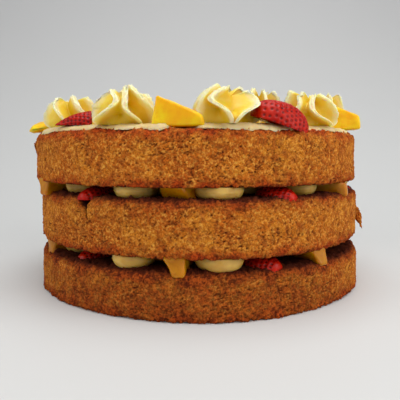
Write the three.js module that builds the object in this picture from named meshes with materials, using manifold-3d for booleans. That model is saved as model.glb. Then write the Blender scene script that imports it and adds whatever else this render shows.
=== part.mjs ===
// A naked layer cake: three round sponges with dots of buttercream, peach and strawberry
// between them, and a ring of piped rosettes, peach pieces and halved strawberries on top.
// Millimetres, +Z up. The origin is the middle of the underside, and the front faces -Y.

import * as THREE from 'three';
import { mergeVertices } from 'three/addons/utils/BufferGeometryUtils.js';
import Module from 'manifold-3d';

const wasm = await Module();
wasm.setup();

const { clamp, degToRad, euclideanModulo, lerp, radToDeg } = THREE.MathUtils;

// Driving dimensions of the sponges, which were baked in the same tin
const CAKE_RADIUS = 102;
const LAYERS = {
  bottom: { floor: 0, thickness: 25.2, shift: 0, lowerRound: 2, upperRound: 5, seed: 1.3 },
  middle: { floor: 31.3, thickness: 29.2, shift: -0.8, lowerRound: 3.2, upperRound: 5, seed: 4.1 },
  top: { floor: 65.8, thickness: 28, shift: -3, lowerRound: 2.4, upperRound: 5.4, seed: 2.2 },
};
const FLAKES = [
  { layer: 'middle', bearing: 76, height: 10.8, width: 2.7, depth: 3, length: 6.2, lean: -0.7 },
  { layer: 'top', bearing: -75, height: 19.5, width: 4.5, depth: 1.8, length: 3.2, lean: 0 },
];

// The split in the rim of the middle sponge: its outline across the side, and how far in it goes
const CRACK = {
  bearing: -35.6,
  inward: 6,
  outline: [
    [-7.5, 2],
    [-5.6, -1.2],
    [-3, -4.6],
    [0.7, -7.8],
    [2.6, -12.4],
    [3.6, -8],
    [4.2, -4.5],
    [7, -1],
    [8, 2],
  ],
};

// Driving dimensions of the buttercream
const CLEARANCE = 0.35;
const FIN_CLEARANCE = 1;
const SPREAD_RADIUS = 98;
const SPREAD_DEPTH = 2.7;
const CORE_RADIUS = 82;
const CORE_BULGE = 2;
const DOT_RADIUS = 11.5;
const DOT_REACH = 88;
const FRUIT_DROP = 2.2;
const FRUIT_REACH = 91;
const DECK = LAYERS.top.floor + LAYERS.top.thickness + CLEARANCE + SPREAD_DEPTH;

// How finely the round shapes are divided
const SPONGE_SEGMENTS = 52;
const SPREAD_SEGMENTS = 40;
const CORE_SEGMENTS = 26;
const DOT_SEGMENTS = 9;
const BERRY_STEPS = 6;
const FIN_POINTS = 4;

function material(color, roughness) {
  return new THREE.MeshStandardMaterial({ color, roughness, metalness: 0 });
}

const sponge = material('#b9752f', 0.9);
const cream = material('#f1dd94', 0.5);
const peach = material('#eda21c', 0.3);
const strawberry = material('#b3231d', 0.35);

// Shapes and solids

// Welds a shape and drops the triangles that have no area.
function welded(geometry) {
  const bare = geometry.clone();
  for (const name of ['normal', 'uv']) bare.deleteAttribute(name);
  const merged = mergeVertices(bare, 1e-3);
  const corners = merged.index.array;
  const kept = [];
  for (let i = 0; i < corners.length; i += 3) {
    const [a, b, c] = corners.slice(i, i + 3);
    if (a !== b && b !== c && c !== a) kept.push(a, b, c);
  }
  return merged.setIndex(kept);
}

function solidOf(geometry) {
  const { attributes, index } = welded(geometry);
  return new wasm.Manifold(
    new wasm.Mesh({
      numProp: 3,
      vertProperties: new Float32Array(attributes.position.array),
      triVerts: new Uint32Array(index.array),
    }),
  );
}

function geometryOf(solid) {
  const { vertProperties, triVerts } = solid.getMesh();
  return new THREE.BufferGeometry()
    .setAttribute('position', new THREE.BufferAttribute(new Float32Array(vertProperties), 3))
    .setIndex(new THREE.BufferAttribute(new Uint32Array(triVerts), 1));
}

// Moves every point of a shape by a rule.
function shaped(geometry, rule) {
  const { position } = geometry.attributes;
  const point = new THREE.Vector3();
  for (let i = 0; i < position.count; i++) {
    rule(point.fromBufferAttribute(position, i));
    position.setXYZ(i, ...point);
  }
  return geometry;
}

// A shape turned about the Z axis, from a profile of [radius, height] pairs.
function turned(profile, segments) {
  const points = profile.map(([radius, height]) => new THREE.Vector2(radius, height));
  return welded(new THREE.LatheGeometry(points, segments)).rotateX(Math.PI / 2);
}

// A shape swollen along its normals, to cut its neighbours clear of it.
function swollen(geometry, gap) {
  const grown = welded(geometry);
  grown.computeVertexNormals();
  const { position, normal } = grown.attributes;
  const point = new THREE.Vector3();
  const outward = new THREE.Vector3();
  for (let i = 0; i < position.count; i++) {
    point.fromBufferAttribute(position, i);
    outward.fromBufferAttribute(normal, i);
    position.setXYZ(i, ...point.addScaledVector(outward, gap));
  }
  return grown;
}

// Cuts a mesh clear of the meshes that it is pressed against, and keeps its largest piece.
// A mesh may carry a second swollen shape, where its fins are too thin to swell point by point.
function pressAgainst(mesh, neighbours) {
  mesh.updateWorldMatrix(true, false);
  const toLocal = mesh.matrixWorld.clone().invert();
  let solid = solidOf(mesh.geometry);
  for (const neighbour of neighbours) {
    neighbour.updateWorldMatrix(true, false);
    const { wider } = neighbour.userData;
    const cutters = [swollen(neighbour.geometry, CLEARANCE), ...(wider ? [wider.clone()] : [])];
    for (const cutter of cutters) {
      cutter.applyMatrix4(neighbour.matrixWorld).applyMatrix4(toLocal);
      solid = solid.subtract(solidOf(cutter));
    }
  }
  const [largest] = solid.decompose().sort((a, b) => b.volume() - a.volume());
  mesh.geometry = geometryOf(largest);
  return mesh;
}

// A place on the cake at a bearing from the front, positive towards +X. Its -Y looks outward.
function spot(bearing, reach, height, shift = 0) {
  const place = new THREE.Group();
  const turn = degToRad(bearing);
  place.position.set(shift + reach * Math.sin(turn), -reach * Math.cos(turn), height);
  place.rotation.z = turn;
  return place;
}

const cake = new THREE.Group();

// Adds a mesh to the cake, rolled about its length, then tipped, then turned, in degrees.
function put(name, geometry, look, place, { yaw = 0, tip = 0, roll = 0 } = {}) {
  const mesh = new THREE.Mesh(geometry, look.clone());
  mesh.name = name;
  mesh.rotation.set(degToRad(roll), degToRad(tip), degToRad(yaw), 'ZYX');
  place.add(mesh);
  cake.add(place);
  return mesh;
}

// The sponges: baked in a tin, so with straight, slightly craggy sides and rounded edges

function quarterRound(radius, height, round, from, steps) {
  return Array.from({ length: steps + 1 }, (_, i) => {
    const angle = from + (i / steps) * (Math.PI / 2);
    return [radius + round * Math.cos(angle), height + round * Math.sin(angle)];
  });
}

function sideRelief(angle, height, seed) {
  const bulges = 0.7 * Math.sin(2 * angle + seed) + 0.5 * Math.sin(5 * angle + 2 * seed + 0.1 * height);
  const crags = 0.4 * Math.sin(23 * angle + 0.9 * height + seed) + 0.3 * Math.sin(14 * angle - 0.6 * height);
  return bulges + crags;
}

function spongeGeometry({ thickness, lowerRound, upperRound, seed }) {
  const profile = [
    [0, 0],
    ...quarterRound(CAKE_RADIUS - lowerRound, lowerRound, lowerRound, -Math.PI / 2, 2),
    [CAKE_RADIUS, 0.5 * thickness],
    ...quarterRound(CAKE_RADIUS - upperRound, thickness - upperRound, upperRound, 0, 3),
    [0, thickness],
  ];
  return shaped(turned(profile, SPONGE_SEGMENTS), (point) => {
    const radius = Math.hypot(point.x, point.y);
    if (radius < 0.5 * CAKE_RADIUS) return;
    const stretch = 1 + sideRelief(Math.atan2(point.y, point.x), point.z, seed) / radius;
    point.x *= stretch;
    point.y *= stretch;
  });
}

// A split in the rim, open at the top and narrowing downward and inward.
function crackGeometry({ outline, inward }) {
  const shape = new THREE.Shape(outline.map(([x, z]) => new THREE.Vector2(x, z)));
  const length = 2.4 * inward;
  const wedge = new THREE.ExtrudeGeometry(shape, { depth: length, bevelEnabled: false });
  return shaped(wedge.rotateX(Math.PI / 2), (point) => {
    const taper = lerp(0.4, 1, clamp(-point.y / length, 0, 1));
    point.x *= taper;
    point.z *= taper;
    point.y += inward;
  });
}

// A flake of crumb that stands out from the side, thinner towards its lower end.
function flakeGeometry({ width, depth, length, lean }) {
  return shaped(new THREE.IcosahedronGeometry(1, 0), (point) => {
    const slim = 0.62 + 0.38 * point.z;
    point.set(width * point.x * slim, depth * (point.y * slim + lean * (1 - point.z)), length * point.z);
  });
}

function addSponge(key) {
  const layer = LAYERS[key];
  let solid = solidOf(spongeGeometry(layer));
  for (const flake of FLAKES.filter((each) => each.layer === key)) {
    const at = spot(flake.bearing, CAKE_RADIUS, flake.height);
    at.updateMatrixWorld();
    solid = solid.add(solidOf(flakeGeometry(flake).applyMatrix4(at.matrixWorld)));
  }
  if (key === 'middle') {
    const at = spot(CRACK.bearing, CAKE_RADIUS - CRACK.inward, layer.thickness);
    at.updateMatrixWorld();
    solid = solid.subtract(solidOf(crackGeometry(CRACK).applyMatrix4(at.matrixWorld)));
  }
  const place = new THREE.Group();
  place.position.set(layer.shift, 0, layer.floor);
  return put(`sponge_${key}`, geometryOf(solid), sponge, place);
}

const sponges = Object.fromEntries(Object.keys(LAYERS).map((key) => [key, addSponge(key)]));

// Buttercream spread thinly over the top sponge, uneven at the rim and bare in one place

const BARE_PATCH = { bearing: -3, halfWidth: 3.8, advance: -10 };
const LAPS = [
  { bearing: -53, halfWidth: 5, advance: 2.8 },
  { bearing: -27, halfWidth: 9, advance: -2.2 },
  { bearing: 11, halfWidth: 7, advance: -1.4 },
  { bearing: 26, halfWidth: 8, advance: 1 },
  { bearing: 60, halfWidth: 9, advance: 1.2 },
];

function spreadReach(angle) {
  const waves = 1.2 * Math.sin(4 * angle + 1) + Math.sin(9 * angle) + 0.8 * Math.sin(19 * angle + 2);
  return [BARE_PATCH, ...LAPS].reduce((reach, { bearing, halfWidth, advance }) => {
    const away = euclideanModulo(radToDeg(angle) + 270 - bearing, 360) - 180;
    return reach + advance * Math.exp(-((away / halfWidth) ** 2));
  }, waves);
}

function spreadGeometry() {
  const profile = [
    [0, 0],
    [SPREAD_RADIUS - 0.6, 0],
    [SPREAD_RADIUS, 0.45 * SPREAD_DEPTH],
    [SPREAD_RADIUS - 1.2, 0.85 * SPREAD_DEPTH],
    [SPREAD_RADIUS - 4, SPREAD_DEPTH],
    [0, SPREAD_DEPTH],
  ];
  return shaped(turned(profile, SPREAD_SEGMENTS), (point) => {
    const radius = Math.hypot(point.x, point.y);
    if (radius < 0.5 * SPREAD_RADIUS) return;
    const stretch = 1 + spreadReach(Math.atan2(point.y, point.x)) / radius;
    point.x *= stretch;
    point.y *= stretch;
  });
}

const top = new THREE.Group();
top.position.set(LAYERS.top.shift, 0, DECK - SPREAD_DEPTH);
const spread = put('cream_spread', spreadGeometry(), cream, top);

// Rosettes piped with a large star nozzle: thin fins, with hollows between, that turn as they rise

// Height, edge of the fins and bottom of the hollows, as shares of the height and the radius
const ROSETTE_LEVELS = [
  { height: 0, edge: 0.8, hollow: 0.5 },
  { height: 0.2, edge: 0.98, hollow: 0.48 },
  { height: 0.43, edge: 0.98, hollow: 0.4 },
  { height: 0.59, edge: 0.9, hollow: 0.33 },
  { height: 0.75, edge: 0.77, hollow: 0.26 },
  { height: 0.9, edge: 0.58, hollow: 0.2 },
  { height: 1, edge: 0.34, hollow: 0.14 },
];
const TOP_HOLLOW = 0.74;
const SAG = 0.16;
// Fins nearer to each other than this, in degrees, leave a shallower hollow, by this power
const CLOSED_GAP = 46;
const CLOSING = 1.7;

// From a fin to the hollow beside it: how far out, and how far round, at even steps
const FIN_SECTION = [
  { out: 1, round: 0 },
  { out: 0.32, round: 0.3 },
  { out: 0, round: 1 },
];

// A fin's heading at one height. Fins are numbered on past the last one, once more round.
function headingOf(fins, number, rise) {
  const { course } = fins[euclideanModulo(number, fins.length)];
  return course.getPoint(rise).y + 360 * Math.floor(number / fins.length);
}

// A rosette, or with a gap one that is that much wider all round.
function rosetteGeometry({ radius, height, fins }, gap = 0) {
  const highest = ROSETTE_LEVELS.length - 1;
  const finAt = (number) => fins[euclideanModulo(number, fins.length)];
  const profile = [[0, 0], ...ROSETTE_LEVELS.map((_, i) => [1, i]), [0, highest]];
  return shaped(turned(profile, fins.length * FIN_POINTS), (point) => {
    const level = ROSETTE_LEVELS[Math.round(point.z)];
    const rise = level.height;
    if (Math.hypot(point.x, point.y) < 0.5) {
      point.set(0, 0, rise > 0 ? height * TOP_HOLLOW : 0);
      return;
    }
    const step = Math.round((Math.atan2(point.y, point.x) * fins.length * FIN_POINTS) / (2 * Math.PI));
    const here = Math.round(step / FIN_POINTS);
    const beside = step - here * FIN_POINTS;
    const side = Math.sign(beside);
    const section = FIN_SECTION[Math.abs(beside)];
    const edgeOf = ({ out, flare }) => radius * (level.edge * out + flare * rise ** 3);
    const [fin, next] = [finAt(here), finAt(here + side)];
    const between = headingOf(fins, here + side, rise) - headingOf(fins, here, rise);
    const middle = 0.5 * (edgeOf(fin) + edgeOf(next));
    const parted = clamp(Math.abs(between) / CLOSED_GAP, 0, 1) ** CLOSING;
    const bottom = lerp(middle, radius * level.hollow, parted);
    const out = lerp(bottom, edgeOf(fin), section.out) + gap;
    const angle = degToRad(headingOf(fins, here, rise) + 0.5 * between * section.round - 90);
    const high = lerp(fin.high, next.high, Math.abs(beside) / FIN_POINTS);
    const up = height * (rise * high - SAG * (1 - section.out) * rise ** 2);
    point.set(out * Math.cos(angle), out * Math.sin(angle), up);
  });
}

// A fin from its headings at the foot, a third, two thirds and all of the way up, in degrees from
// the front, its length and its height as shares of the rosette's, and how far its top leans out
function fin(headings, out, high, flare) {
  const course = new THREE.SplineCurve(headings.map((heading, i) => new THREE.Vector2(i, heading)));
  return { course, out, high, flare };
}

// Fins at even headings, a little uneven in length, height and lean.
function evenFins(count, start, turn) {
  return Array.from({ length: count }, (_, i) => {
    const foot = start + (360 * i) / count;
    const sway = Math.sin(2.4 * i + start);
    const headings = [foot, foot + 0.7 * turn, foot + 0.95 * turn, foot + turn];
    return fin(headings, 1 + 0.05 * sway, 0.94 + 0.06 * sway, 0.18 + 0.12 * sway);
  });
}

// Where each rosette stands, its size and its fins
const ROSETTES = [
  {
    bearing: -57.5, reach: 85, radius: 16.5, height: 17.8,
    fins: [
      fin([-96, -98, -104, -118], 0.98, 0.94, 0.22), fin([8, -6, -30, -56], 0.98, 0.94, 0.08),
      fin([56, 42, 28, 20], 0.98, 1, 0.1), fin([92, 90, 86, 80], 0.95, 0.98, 0.28),
      fin([140, 140, 140, 140], 1, 0.9, 0.1), fin([208, 210, 210, 205], 1, 0.9, 0.1),
    ],
  },
  {
    bearing: -25.7, reach: 84, radius: 16.8, height: 19.6,
    fins: [
      fin([-98, -96, -102, -118], 1, 0.9, 0.14), fin([-84, -26, -2, -34], 1, 0.88, 0.06),
      fin([54, 14, 10, 14], 0.98, 0.98, 0.04), fin([98, 76, 46, 30], 0.98, 1, 0.12),
      fin([116, 96, 86, 84], 0.96, 0.8, 0.42), fin([160, 160, 160, 160], 1, 0.9, 0.1),
      fin([210, 210, 202, 190], 1, 0.95, 0.1),
    ],
  },
  {
    bearing: 11.3, reach: 84, radius: 17.5, height: 19.4,
    fins: [
      fin([-104, -92, -86, -84], 0.98, 0.9, 0.24), fin([-62, -62, -54, -40], 0.96, 1, 0.1),
      fin([8, -5, -40, -10], 0.97, 0.93, 0.06), fin([14, 31, 88, 104], 1, 0.84, 0.26),
      fin([88, 104, 128, 134], 0.97, 0.97, 0.15), fin([150, 160, 170, 176], 1, 1.02, 0.1),
      fin([210, 214, 220, 228], 1, 1, 0.05),
    ],
  },
  {
    bearing: 49.8, reach: 85, radius: 15, height: 19.3,
    fins: [
      fin([-100, -98, -94, -92], 1, 1.05, 0.46), fin([-50, -46, -40, -60], 0.97, 0.98, 0.14),
      fin([68, 2, -14, -4], 0.95, 0.9, 0.06), fin([84, 92, 62, 24], 1, 0.9, 0.1),
      fin([112, 116, 118, 120], 0.95, 0.82, 0.1), fin([172, 172, 172, 172], 1, 0.95, 0.1),
    ],
  },
  {
    bearing: 80, reach: 83, radius: 15, height: 22.5,
    fins: [
      fin([-60, -42, -34, -30], 1, 0.95, 0.1), fin([-5, 10, 17, 20], 0.95, 0.98, 0.2),
      fin([50, 70, 80, 82], 0.9, 1, 0.34), fin([110, 128, 137, 140], 1, 0.95, 0.2),
      fin([190, 203, 208, 210], 1, 0.95, 0.1), fin([250, 263, 268, 270], 1, 0.9, 0.1),
    ],
  },
  { bearing: 114, reach: 84, radius: 16.5, height: 21, fins: evenFins(6, 8, 50) },
  { bearing: 140, reach: 84, radius: 16.5, height: 20, fins: evenFins(6, 25, -45) },
  { bearing: 176, reach: 84, radius: 17, height: 19.5, fins: evenFins(6, 2, 55) },
  { bearing: 208, reach: 84, radius: 16.5, height: 20, fins: evenFins(5, 30, -50) },
  { bearing: 241, reach: 84, radius: 17, height: 20.5, fins: evenFins(6, 15, 45) },
  { bearing: 273, reach: 84, radius: 15.5, height: 18.5, fins: evenFins(6, 5, -40) },
  {
    bearing: 38.5, reach: 59, radius: 14.5, height: 22,
    fins: [
      fin([-100, -82, -73, -70], 1, 0.9, 0.2), fin([-50, -36, -29, -28], 1, 1, 0.15),
      fin([-10, 8, 17, 20], 1, 0.94, 0.15), fin([45, 63, 72, 75], 1, 0.9, 0.25),
      fin([110, 125, 133, 135], 1, 0.95, 0.1), fin([195, 213, 222, 225], 1, 0.95, 0.1),
    ],
  },
];

const rosettes = ROSETTES.map((rosette, i) => {
  const place = spot(rosette.bearing, rosette.reach, DECK + CLEARANCE, LAYERS.top.shift);
  place.rotation.z = 0;
  const mesh = put(`rosette_${i + 1}`, rosetteGeometry(rosette), cream, place);
  mesh.userData.wider = rosetteGeometry(rosette, FIN_CLEARANCE);
  return mesh;
});

// Peach pieces: chunks of a slice, tall at one end and low at the other, their edges softened. back
// is the height of the far side as a share of the near one's, and undercut is how far in its foot is.

function peachGeometry({ length, tall, low, thick, back = 0.62, undercut = 0 }) {
  const outline = new THREE.Shape();
  outline.moveTo(-0.46 * length, 0);
  outline.lineTo(-0.5 * length, 0.1 * tall);
  outline.lineTo(-0.42 * length, 0.9 * tall);
  outline.lineTo(-0.36 * length, 0.97 * tall);
  outline.lineTo(0.41 * length, low);
  outline.lineTo(0.48 * length, 0.75 * low);
  outline.lineTo(0.48 * length, 0.15 * low);
  outline.lineTo(0.44 * length, 0);
  const bevel = 0.08 * thick;
  const chunk = new THREE.ExtrudeGeometry(outline, {
    depth: thick - 2 * bevel,
    bevelSize: bevel,
    bevelOffset: -bevel,
    bevelThickness: bevel,
    bevelSegments: 1,
  });
  chunk.translate(0, 0, bevel - 0.5 * thick).rotateX(Math.PI / 2);
  return shaped(welded(chunk), (point) => {
    if (point.y < 0) return;
    point.y -= undercut * thick * (1 - point.z / tall);
    point.z *= back;
  });
}

// Halved strawberries: a turned berry on its side, its tip towards +X, cut flat underneath. widest
// is where it is thickest, and cut is the share of its length that is cut away at the blunt end.

function strawberryGeometry({ length, radius, widest = 0.4, blunt = 0.6, cut = 0, segments = 12 }) {
  const skew = Math.log(0.5) / Math.log(widest);
  const profile = Array.from({ length: BERRY_STEPS + 1 }, (_, i) => {
    const along = 0.5 - 0.5 * Math.cos((Math.PI * i) / BERRY_STEPS);
    const swell = Math.max(0, Math.sin(Math.PI * along ** skew)) ** blunt;
    return [i % BERRY_STEPS ? radius * swell : 0, length * (along - 0.5)];
  });
  const berry = turned(profile, segments).rotateY(Math.PI / 2);
  const under = new THREE.BoxGeometry(2 * length, 4 * radius, 2 * radius).translate(0, 0, -radius);
  const half = solidOf(berry).subtract(solidOf(under));
  if (!cut) return geometryOf(half);
  const stalkEnd = new THREE.BoxGeometry(length, 4 * radius, 4 * radius);
  return geometryOf(half.subtract(solidOf(stalkEnd.translate((cut - 1) * length, 0, 0))));
}

// The fruit on top. Each lies at its lift over the cream.
const TOP_PEACHES = [
  { bearing: -77, reach: 93.5, lift: -1, yaw: -90, tip: 9, length: 26, tall: 9.5, low: 6, thick: 11 },
  { bearing: -4.6, reach: 89, lift: -2, yaw: 0, length: 26.2, tall: 15.8, low: 6.2, thick: 12 },
  { bearing: 71.5, reach: 95.5, lift: -0.8, yaw: -72, length: 19, tall: 14.8, low: 8.5, thick: 11 },
  { bearing: 158, reach: 88, lift: 0, yaw: 10, length: 27, tall: 13, low: 5, thick: 12 },
  { bearing: 224, reach: 88, lift: 0, yaw: 172, length: 26, tall: 12, low: 5, thick: 11 },
];

const TOP_STRAWBERRIES = [
  {
    bearing: -44.1, reach: 86.8, lift: 0.2, yaw: 240,
    length: 29.7, radius: 8.2, widest: 0.33, blunt: 0.74, cut: 0.36,
  },
  {
    bearing: 28, reach: 91, lift: -0.6, yaw: -12, tip: 17, roll: 6,
    length: 30.5, radius: 11.6, widest: 0.46, blunt: 0.3,
  },
  { bearing: 96.5, reach: 91, lift: 0.3, yaw: 170, tip: 8, length: 27, radius: 11 },
  { bearing: 192, reach: 90, lift: 0.3, yaw: 5, tip: 10, length: 28, radius: 10.5 },
  { bearing: 257, reach: 90, lift: 0.3, yaw: 178, tip: 10, length: 30, radius: 11 },
];

const onTop = [spread, sponges.top, ...rosettes];

function addOnTop(name, pieces, shape, look) {
  pieces.forEach((piece, i) => {
    const place = spot(piece.bearing, piece.reach, DECK + piece.lift, LAYERS.top.shift);
    onTop.push(pressAgainst(put(`${name}_top_${i + 1}`, shape(piece), look, place, piece), onTop));
  });
}

addOnTop('peach', TOP_PEACHES, peachGeometry, peach);
addOnTop('strawberry', TOP_STRAWBERRIES, strawberryGeometry, strawberry);

// Fillings: buttercream with piped dots round its rim, and fruit poking out between the dots.
// Each piece has its kind, its bearing and how far it stands out: C is a dot of cream, P a peach
// chunk and S a half strawberry. A piece that doesn't lie like the others has its turn and length too.

const FRONT_LOWER = [
  ['P', -65, -1], ['C', -57, -6], ['S', -43, -6], ['C', -22.5, 0], ['P', -7, 0],
  ['C', 6.4, 2], ['S', 21.5, -2], ['P', 39.5, -1], ['C', 58, -9], ['S', 76, -7],
];
const FRONT_UPPER = [
  ['P', -62, 2], ['C', -49, -5], ['S', -36.5, -1.5], ['C', -21, -2], ['P', -5.8, 1.5, 154, 17],
  ['C', 7.3, 1], ['S', 27, 0], ['C', 39.5, -3.5], ['P', 53.5, 1, 286], ['S', 65, -1],
];
const BACK = 'CPCSCPCSCPC';

// The pieces that show from the front, then the rest, evenly spaced round the back.
function ringOf(pieces) {
  const front = pieces.map(([kind, bearing, further, turn, length]) => {
    return { kind, bearing, further, turn, length };
  });
  const last = front.at(-1).bearing;
  const step = (front[0].bearing + 360 - last) / (BACK.length + 1);
  const back = [...BACK].map((kind, i) => ({ kind, bearing: last + step * (i + 1), further: 0 }));
  return [...front, ...back];
}

const DOT_PROFILE = [[0, 0], [0.66, 0], [0.95, 0.35], [1, 0.75], [0.9, 1], [0, 1]];

function fillingGeometry(ring, gap, shift) {
  const rim = [
    [CORE_RADIUS - CORE_BULGE, 0],
    [CORE_RADIUS, 0.5 * gap],
    [CORE_RADIUS - CORE_BULGE, gap],
  ];
  const core = turned([[0, 0], ...rim, [0, gap]], CORE_SEGMENTS);
  let solid = solidOf(core.translate(shift, 0, 0));
  for (const { bearing, further } of ring.filter(({ kind }) => kind === 'C')) {
    const at = spot(bearing, DOT_REACH + further, 0, shift);
    at.updateMatrixWorld();
    const dot = turned(DOT_PROFILE, DOT_SEGMENTS).scale(DOT_RADIUS, DOT_RADIUS, gap);
    solid = solid.add(solidOf(dot.applyMatrix4(at.matrixWorld)));
  }
  return geometryOf(solid);
}

// Each piece of fruit lies a little differently: this wavers between -1 and 1 along the ring.
const waver = (i) => Math.sin(2.4 * i + 0.7);

function addFilling(name, below, above, front) {
  const floor = LAYERS[below].floor + LAYERS[below].thickness + CLEARANCE;
  const gap = LAYERS[above].floor - CLEARANCE - floor;
  const shift = 0.5 * (LAYERS[below].shift + LAYERS[above].shift);
  const ring = ringOf(front);
  const place = new THREE.Group();
  place.position.z = floor;
  const filling = put(`cream_filling_${name}`, fillingGeometry(ring, gap, shift), cream, place);
  const packed = [sponges[below], sponges[above], filling];
  const counts = { P: 0, S: 0 };
  const chunk = { tall: gap + 2 * FRUIT_DROP, low: gap + FRUIT_DROP, thick: 12.5, back: 1, undercut: 0.5 };
  const half = { length: 22, radius: gap + FRUIT_DROP, segments: 10, blunt: 0.32 };
  ring.forEach(({ kind, bearing, further, turn, length = 24 }, i) => {
    if (kind === 'C') return;
    counts[kind] += 1;
    const sway = waver(i);
    const at = spot(bearing, FRUIT_REACH + further, floor - FRUIT_DROP, shift);
    const peachPiece = () => {
      const yaw = turn ?? 100 + 16 * sway;
      return put(`peach_${name}_${counts.P}`, peachGeometry({ ...chunk, length }), peach, at, { yaw });
    };
    const berryHalf = () => {
      const shape = strawberryGeometry({ ...half, radius: half.radius + 0.5 * sway });
      return put(`strawberry_${name}_${counts.S}`, shape, strawberry, at, { yaw: -75 + 20 * sway });
    };
    packed.push(pressAgainst(kind === 'P' ? peachPiece() : berryHalf(), packed));
  });
}

addFilling('lower', 'bottom', 'middle', FRONT_LOWER);
addFilling('upper', 'middle', 'top', FRONT_UPPER);

export default cake;
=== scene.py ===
# A naked layer cake: three round sponges with dots of buttercream, peach and strawberry between
# them, and a ring of piped rosettes, peach pieces and halved strawberries on top.
# Metres, +Z up. The origin is the middle of the underside, and the front faces -Y.

import math

import bmesh
import bpy
import numpy as np
from mathutils import Matrix, Vector, noise


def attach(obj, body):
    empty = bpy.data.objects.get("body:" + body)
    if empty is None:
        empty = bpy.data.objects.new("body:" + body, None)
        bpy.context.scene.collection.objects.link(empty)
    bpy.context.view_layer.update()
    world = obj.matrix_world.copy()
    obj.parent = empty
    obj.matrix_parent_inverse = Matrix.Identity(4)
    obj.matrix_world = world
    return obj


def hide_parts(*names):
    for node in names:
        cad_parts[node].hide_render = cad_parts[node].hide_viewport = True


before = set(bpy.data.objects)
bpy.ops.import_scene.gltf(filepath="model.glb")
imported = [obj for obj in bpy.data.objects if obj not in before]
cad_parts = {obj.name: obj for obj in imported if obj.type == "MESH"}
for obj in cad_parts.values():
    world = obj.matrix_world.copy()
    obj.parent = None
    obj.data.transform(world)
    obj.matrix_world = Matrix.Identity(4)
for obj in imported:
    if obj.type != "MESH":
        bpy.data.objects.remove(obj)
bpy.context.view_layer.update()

# The table and the light: a pale, matt table that sweeps up into a light grey wall, under a large
# soft box overhead, with weaker ones in front and at both sides. The camera stands close, level
# with the top sponge.

CAMERA_PLACE = (0, -0.32135, 0.0835)
CAMERA_DOWN = math.radians(5.99)
FOCAL_LENGTH = 470.3  # in pixels of a picture 400 wide
PICTURE_WIDTH = 400
SENSOR_WIDTH = 36
NEAREST_SEEN = 0.01
TABLE_WIDTH = 4
TABLE_DEPTH = 1.9
TABLE_SHIFT = -0.3
WALL_HEIGHT = 1.6
WALL_SWEEP = 0.5
SWEEP_STEPS = 24
WALL_TONE_HEIGHT = 0.5
# Each soft box's place, width, power and colour
LIGHTS = {
    "front_box": ((0.12, -0.66, 0.7), 1.0, 3.3, (1, 0.985, 0.96)),
    "overhead_box": ((0.05, -0.1, 0.95), 0.7, 5.2, (1, 1, 1)),
    "left_box": ((-0.75, -0.34, 0.4), 0.6, 1.8, (1, 0.99, 0.97)),
    "right_box": ((0.75, -0.34, 0.4), 0.6, 2.5, (1, 0.99, 0.97)),
}
LIGHTS_AIM = (0, 0, 0.06)  # the middle of the cake
DAYLIGHT = {"Color": (0.88, 0.9, 0.93, 1), "Strength": 0.26}
HAIR = 1e-5  # a distance too small to matter


def tone(red, green, blue):
    """A colour as seen on a screen, from 0 to 255, as the light that it reflects."""
    shares = [channel / 255 for channel in (red, green, blue)]
    return [share / 12.92 if share < 0.04 else ((share + 0.055) / 1.055) ** 2.4 for share in shares] + [1]


def add_node(tree, kind, values=None, **settings):
    """A shader node with its settings, and the values or links of its inputs."""
    node = tree.nodes.new(kind)
    for key, value in settings.items():
        setattr(node, key, value)
    for key, value in (values or {}).items():
        if isinstance(value, bpy.types.NodeSocket):
            tree.links.new(value, node.inputs[key])
        else:
            node.inputs[key].default_value = value
    return node


def blend(tree, factor, first, second, way="MIX"):
    """A colour between two others, or one laid over the other in another way."""
    values = {"Factor": factor, "A": first, "B": second}
    return add_node(tree, "ShaderNodeMix", values, data_type="RGBA", blend_type=way).outputs["Result"]


def spread_out(tree, value, low, high, first=0.0, last=1.0):
    """Maps the part of a value's range that matters onto another range."""
    ends = {"Value": value, "From Min": low, "From Max": high, "To Min": first, "To Max": last}
    return add_node(tree, "ShaderNodeMapRange", ends).outputs["Result"]


def new_finish(name, **values):
    """A material with its main shader's own values set. Gives the material, its tree and that shader."""
    finish = bpy.data.materials.new(name)
    finish.use_nodes = True
    shader = finish.node_tree.nodes["Principled BSDF"]
    for key, value in values.items():
        shader.inputs[key.replace("_", " ")].default_value = value
    return finish, finish.node_tree, shader


def deselect():
    bpy.ops.object.select_all(action="DESELECT")


def pick(piece, rule):
    """In edit mode, selects the edges whose two ends keep a rule."""
    bpy.ops.mesh.select_mode(type="EDGE")
    bpy.ops.mesh.select_all(action="DESELECT")
    mesh = bmesh.from_edit_mesh(piece.data)
    for edge in mesh.edges:
        if all(rule(piece.matrix_world @ end.co) for end in edge.verts):
            edge.select_set(True)
    mesh.select_flush_mode()
    bmesh.update_edit_mesh(piece.data)


deselect()
bpy.ops.mesh.primitive_plane_add(size=1, location=(0, TABLE_SHIFT, 0))
table = bpy.context.object
table.name = "table"
table.scale = (TABLE_WIDTH, TABLE_DEPTH, 1)
bpy.ops.object.transform_apply()
back = TABLE_SHIFT + TABLE_DEPTH / 2
bpy.ops.object.mode_set(mode="EDIT")
pick(table, lambda end: end.y > back - HAIR)
bpy.ops.mesh.extrude_region_move(TRANSFORM_OT_translate={"value": (0, 0, WALL_HEIGHT)})
pick(table, lambda end: end.y > back - HAIR and end.z < HAIR)
bpy.ops.mesh.bevel(offset=WALL_SWEEP, segments=SWEEP_STEPS)
bpy.ops.object.mode_set(mode="OBJECT")
bpy.ops.object.shade_smooth()
table_finish, tree, shader = new_finish("pale_table", Roughness=0.6, Specular_IOR_Level=0.2)
place = add_node(tree, "ShaderNodeTexCoord").outputs["Object"]
up = add_node(tree, "ShaderNodeSeparateXYZ", {"Vector": place}).outputs["Z"]
table_tone, wall_tone = tone(212, 213, 212), tone(184, 184, 185)
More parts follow.
